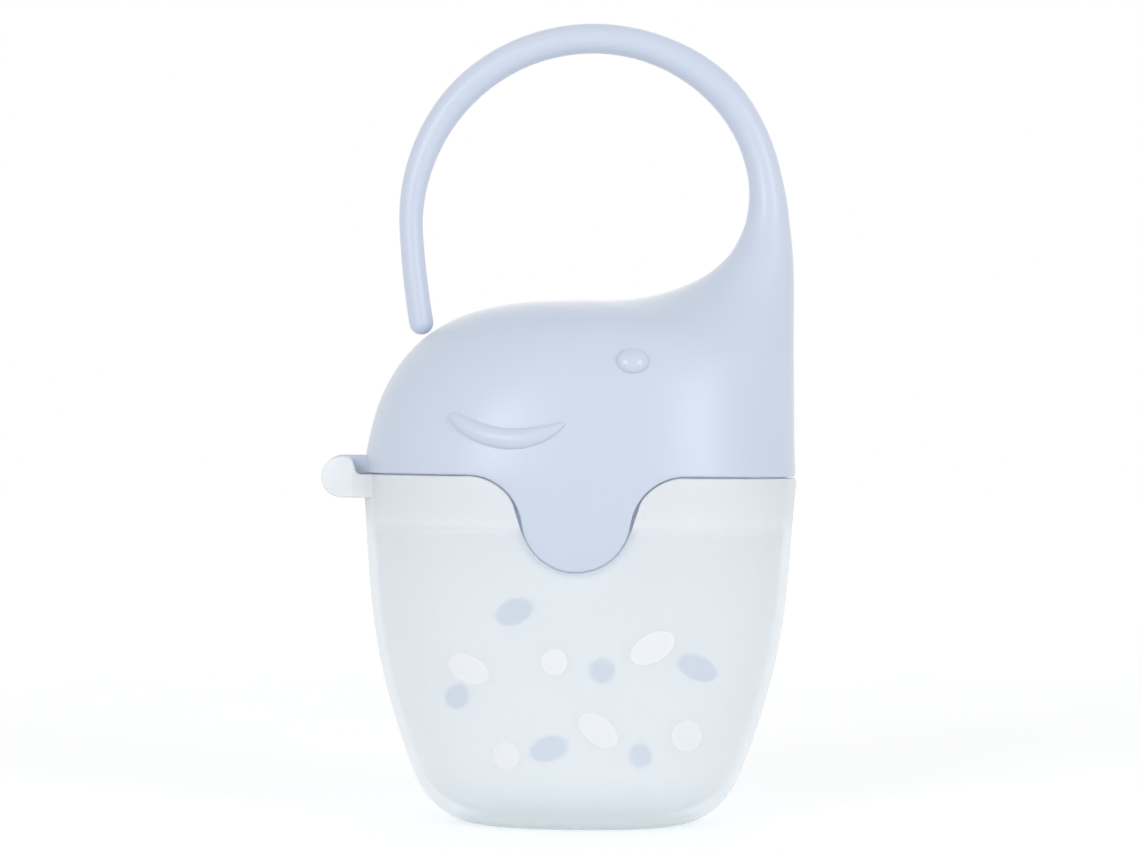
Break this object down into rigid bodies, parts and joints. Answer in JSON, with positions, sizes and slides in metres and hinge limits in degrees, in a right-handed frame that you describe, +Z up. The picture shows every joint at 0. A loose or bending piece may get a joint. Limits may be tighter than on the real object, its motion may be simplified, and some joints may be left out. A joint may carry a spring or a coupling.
{
  "type": "pacifier box",
  "caption": "Pacifier box: a tapered translucent cup and a hinged animal-head lid whose trunk curls over as a hanging hook.",
  "frame": {"origin": "centre of the cup's flat base", "axes": "+Z up from the base, +X towards the trunk's side and away from the hinge, -Y to the front"},
  "size_m": [0.0821, 0.0496, 0.1388],
  "materials": {
    "cup_plastic": "milky translucent moulded plastic",
    "lid_plastic": "satin moulded plastic, light blue",
    "pin_steel": "drawn wire"
  },
  "bodies": {
    "cup": {"cup": "cup_plastic", "hinge_pin": "pin_steel"},
    "lid": {"lid": "lid_plastic"}
  },
  "joints": [
    {"name": "lid_hinge", "type": "hinge", "parent": "cup", "child": "lid", "pos_m": [-0.0409, 0, 0.0595], "axis": [0, -1, 0], "range_deg": [0, 150]}
  ]
}
